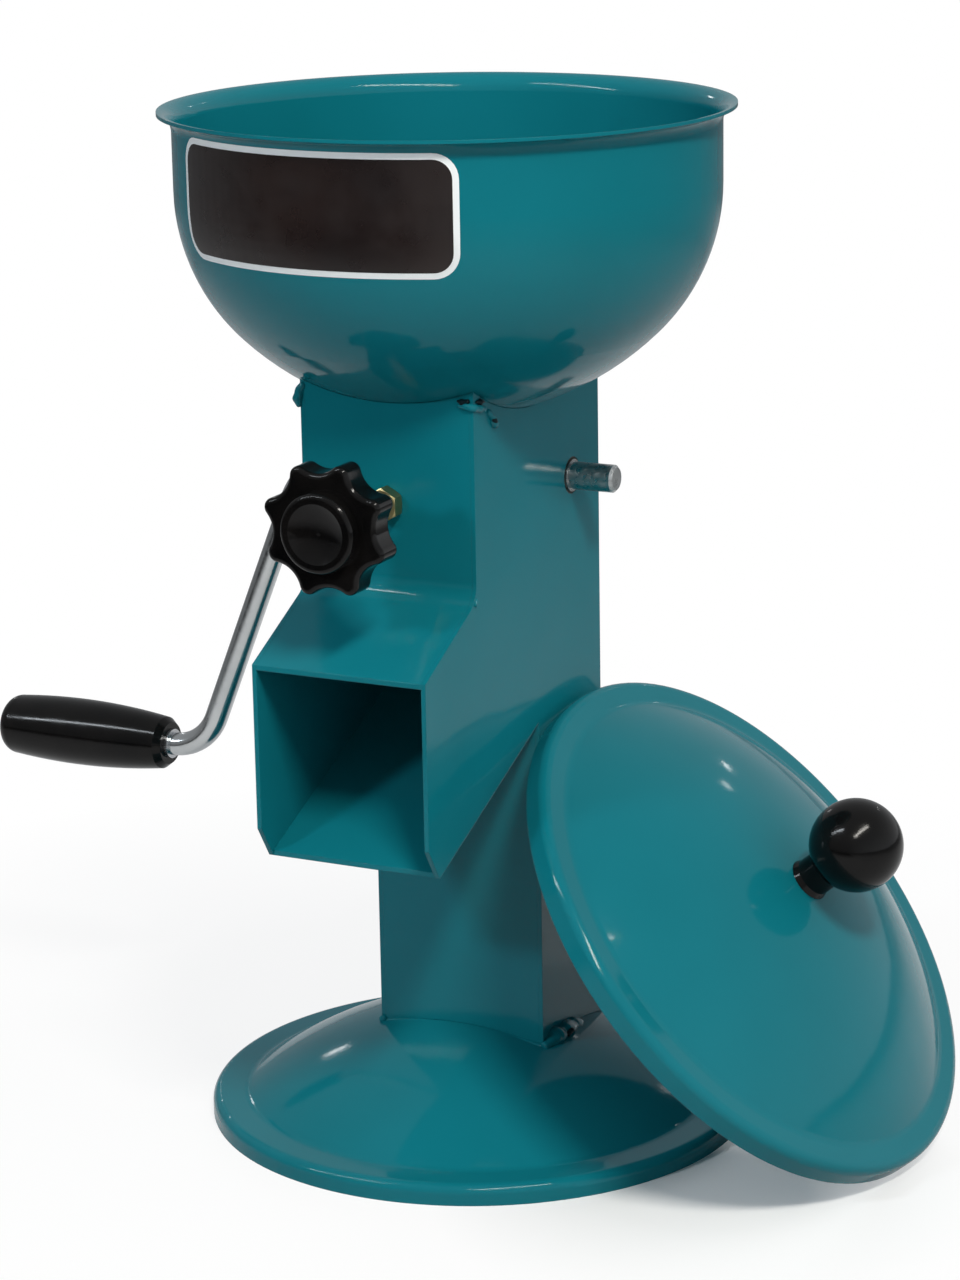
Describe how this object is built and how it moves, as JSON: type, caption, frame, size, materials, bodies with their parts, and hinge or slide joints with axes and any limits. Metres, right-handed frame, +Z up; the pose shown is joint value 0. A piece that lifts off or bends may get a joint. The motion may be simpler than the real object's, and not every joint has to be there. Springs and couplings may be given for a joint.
{
  "type": "hand-cranked nut cracking machine",
  "caption": "Standing nut cracker with a round hopper, box column and chute, fluted drum on a hand crank, screw-set hinged jaw, dished base and a loose lid with a ball knob.",
  "frame": {"origin": "centre of the round base's rim, on the floor", "axes": "+X along the front face towards the free shaft end and the leaning lid, +Y from the chute to the back, +Z up"},
  "size_m": [0.4623, 0.2724, 0.447],
  "materials": {
    "teal_paint": "gloss enamel",
    "bright_steel": "polished",
    "plain_steel": "turned",
    "hard_steel": "hardened",
    "cast_jaw": "as cast",
    "bronze": "turned",
    "brass": "turned",
    "yellow_zinc": "yellow zinc",
    "zinc": "bright zinc",
    "black_plastic": "gloss"
  },
  "bodies": {
    "housing": {"base_dish": "teal_paint", "side_plate_left": "teal_paint", "side_plate_right": "teal_paint", "front_plate": "teal_paint", "back_plate": "teal_paint", "chute_floor": "teal_paint", "leg_front_plate": "teal_paint", "hopper_bowl": "teal_paint", "shaft_bush_left": "bronze", "shaft_bush_right": "bronze", "jaw_hinge_rod": "bright_steel", "screw_boss": "plain_steel"},
    "crank": {"drive_shaft": "bright_steel", "cracking_drum": "hard_steel", "drum_pin": "plain_steel", "crank_socket": "plain_steel", "socket_screws": "zinc", "crank_rod": "bright_steel", "grip_stop": "zinc", "grip_washer": "zinc", "grip_screw": "zinc"},
    "grip": {"crank_grip": "black_plastic", "grip_cap": "black_plastic"},
    "foot": {"screw_foot": "plain_steel"},
    "knob": {"adjusting_screw": "plain_steel", "star_knob": "black_plastic", "knob_insert": "brass"},
    "jaw": {"jaw_plate": "cast_jaw"},
    "nut": {"lock_nut": "yellow_zinc"},
    "lid": {"lid_dish": "teal_paint", "lid_knob": "black_plastic", "lid_washer": "zinc", "lid_screw": "zinc"}
  },
  "joints": [
    {"name": "crank_spin", "type": "hinge", "parent": "housing", "child": "crank", "pos_m": [0, 0.018, 0.286], "axis": [1, 0, 0], "continuous": true},
    {"name": "grip_spin", "type": "hinge", "parent": "crank", "child": "grip", "pos_m": [-0.1482, 0.018, 0.1418], "axis": [-1, 0, 0], "continuous": true},
    {"name": "screw_advance", "type": "slide", "parent": "housing", "child": "foot", "axis": [0, 1, 0], "range_m": [-0.005, 0.00875]},
    {"name": "knob_turn", "type": "hinge", "parent": "foot", "child": "knob", "pos_m": [0, -0.1, 0.29], "axis": [0, 1, 0], "range_deg": [-1440, 2520]},
    {"name": "jaw_tilt", "type": "hinge", "parent": "housing", "child": "jaw", "pos_m": [0, -0.063, 0.318], "axis": [1, 0, 0], "range_deg": [-10.3, 18]},
    {"name": "lock_nut_turn", "type": "hinge", "parent": "housing", "child": "nut", "pos_m": [0, -0.078, 0.29], "axis": [0, 1, 0], "continuous": true},
    {"name": "lid_lift", "type": "slide", "parent": "housing", "child": "lid", "axis": [0.7557, -0.0436, 0.6534], "range_m": [0, 0.25]}
  ],
  "couplings": [
    {"joint": "screw_advance", "follows": "knob_turn", "m_per_rad": 0.00019894},
    {"joint": "jaw_tilt", "follows": "knob_turn", "ratio": 0.0071051}
  ]
}
